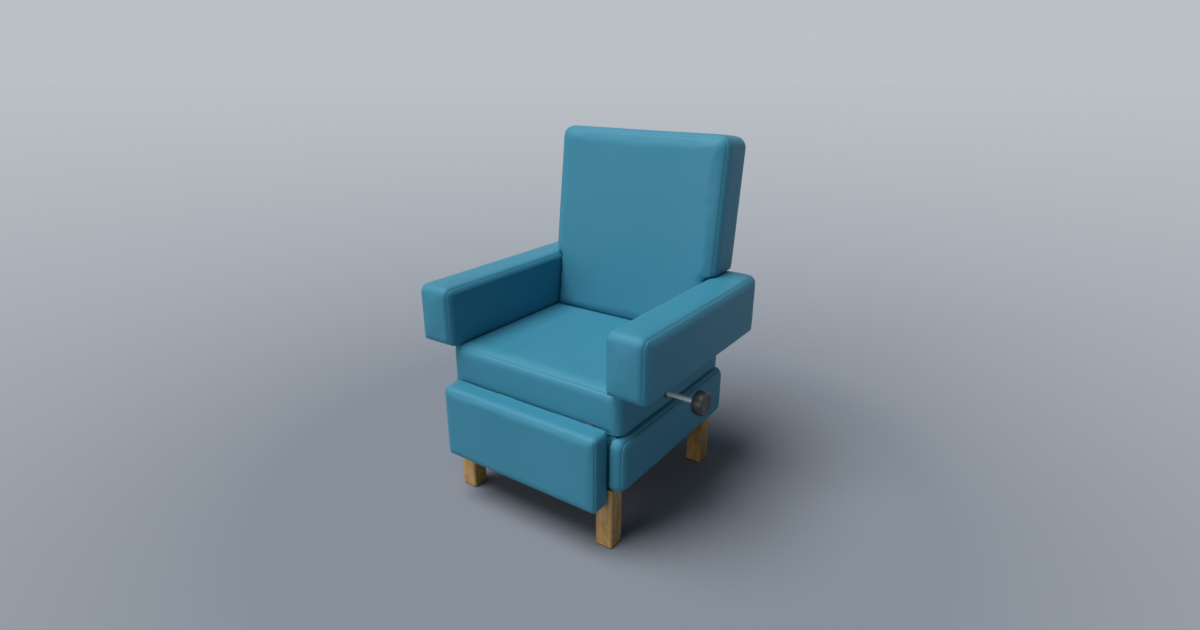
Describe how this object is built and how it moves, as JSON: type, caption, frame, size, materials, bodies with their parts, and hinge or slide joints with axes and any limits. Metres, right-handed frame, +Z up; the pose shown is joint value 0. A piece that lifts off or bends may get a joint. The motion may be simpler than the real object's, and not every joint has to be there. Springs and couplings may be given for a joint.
{
  "type": "visitor recliner",
  "caption": "Padded visitor recliner on wooden legs: the back leans as a linked legrest rises, and a side knob releases the lock.",
  "frame": {"origin": "on the floor under the middle of the outer box", "axes": "+Z up, the front faces -Y, the release knob is on the +X side"},
  "size_m": [0.8087, 0.7618, 1.0577],
  "materials": {
    "vinyl": "teal vinyl-coated fabric over foam, satin",
    "beech": "lacquered light hardwood",
    "frame_wood": "plain softwood and plywood",
    "webbing": "woven elastic webbing",
    "steel": "bright steel",
    "black_steel": "black powder coat",
    "black_plastic": "black moulded plastic"
  },
  "bodies": {
    "chair_frame": {"leg_front_left": "beech", "leg_front_right": "beech", "leg_rear_left": "beech", "leg_rear_right": "beech", "leg_glides": "black_plastic", "leg_plates": "black_steel", "leg_bolts": "steel", "base_rail_left": "frame_wood", "base_rail_right": "frame_wood", "base_rail_front": "frame_wood", "base_rail_rear": "frame_wood", "corner_blocks": "frame_wood", "base_cover_left": "vinyl", "base_cover_right": "vinyl", "base_cover_rear": "vinyl", "seat_rail_left": "frame_wood", "seat_rail_right": "frame_wood", "seat_rail_front": "frame_wood", "seat_rail_rear": "frame_wood", "seat_webbing": "webbing", "seat_cushion": "vinyl", "arm_core_left": "frame_wood", "arm_core_right": "frame_wood", "arm_bars": "black_steel", "arm_bolts": "steel", "arm_pad_left": "vinyl", "arm_pad_right": "vinyl", "legrest_bracket_left": "black_steel", "legrest_bracket_right": "black_steel", "recline_bracket_left": "black_steel", "recline_bracket_right": "black_steel", "bracket_bolts": "steel", "pivot_pins": "steel", "hinge_washers": "black_plastic", "bar_guides": "black_plastic", "rod_housing": "black_plastic", "rod_ring": "black_plastic", "release_spring": "steel"},
    "back": {"back_stile_left": "frame_wood", "back_stile_right": "frame_wood", "back_rails": "frame_wood", "back_webbing": "webbing", "back_cushion": "vinyl", "back_panel": "vinyl", "back_crank_left": "black_steel", "back_crank_right": "black_steel", "back_crank_bolts": "steel"},
    "drive": {"drive_bar_left": "steel", "drive_bar_right": "steel", "drive_tube": "steel", "drive_pins": "steel", "lock_plate": "steel"},
    "release": {"release_rod": "steel", "release_knob": "black_plastic", "lock_pad": "black_plastic"},
    "legrest": {"legrest_board": "frame_wood", "legrest_cushion": "vinyl", "legrest_crank_left": "black_steel", "legrest_crank_right": "black_steel", "legrest_screws": "steel"}
  },
  "joints": [
    {"name": "back_recline", "type": "hinge", "parent": "chair_frame", "child": "back", "pos_m": [-0.0175, 0.29993, 0.3938], "axis": [-1, 0, 0], "range_deg": [0, 40]},
    {"name": "drive_slide", "type": "slide", "parent": "chair_frame", "child": "drive", "axis": [0, -1, 0], "range_m": [0, 0.051]},
    {"name": "legrest_swing", "type": "hinge", "parent": "chair_frame", "child": "legrest", "pos_m": [-0.0175, -0.31807, 0.357], "axis": [-1, 0, 0], "range_deg": [0, 75.01]},
    {"name": "knob_pull", "type": "slide", "parent": "chair_frame", "child": "release", "axis": [1, 0, 0], "range_m": [0, 0.01], "stiffness_N_per_m": 1500, "springref_m": -0.01, "deforming": ["release_spring"]}
  ],
  "couplings": [
    {"joint": "drive_slide", "follows": "back_recline", "m_per_rad": 0.072989},
    {"joint": "legrest_swing", "follows": "back_recline", "ratio": 1.875}
  ]
}
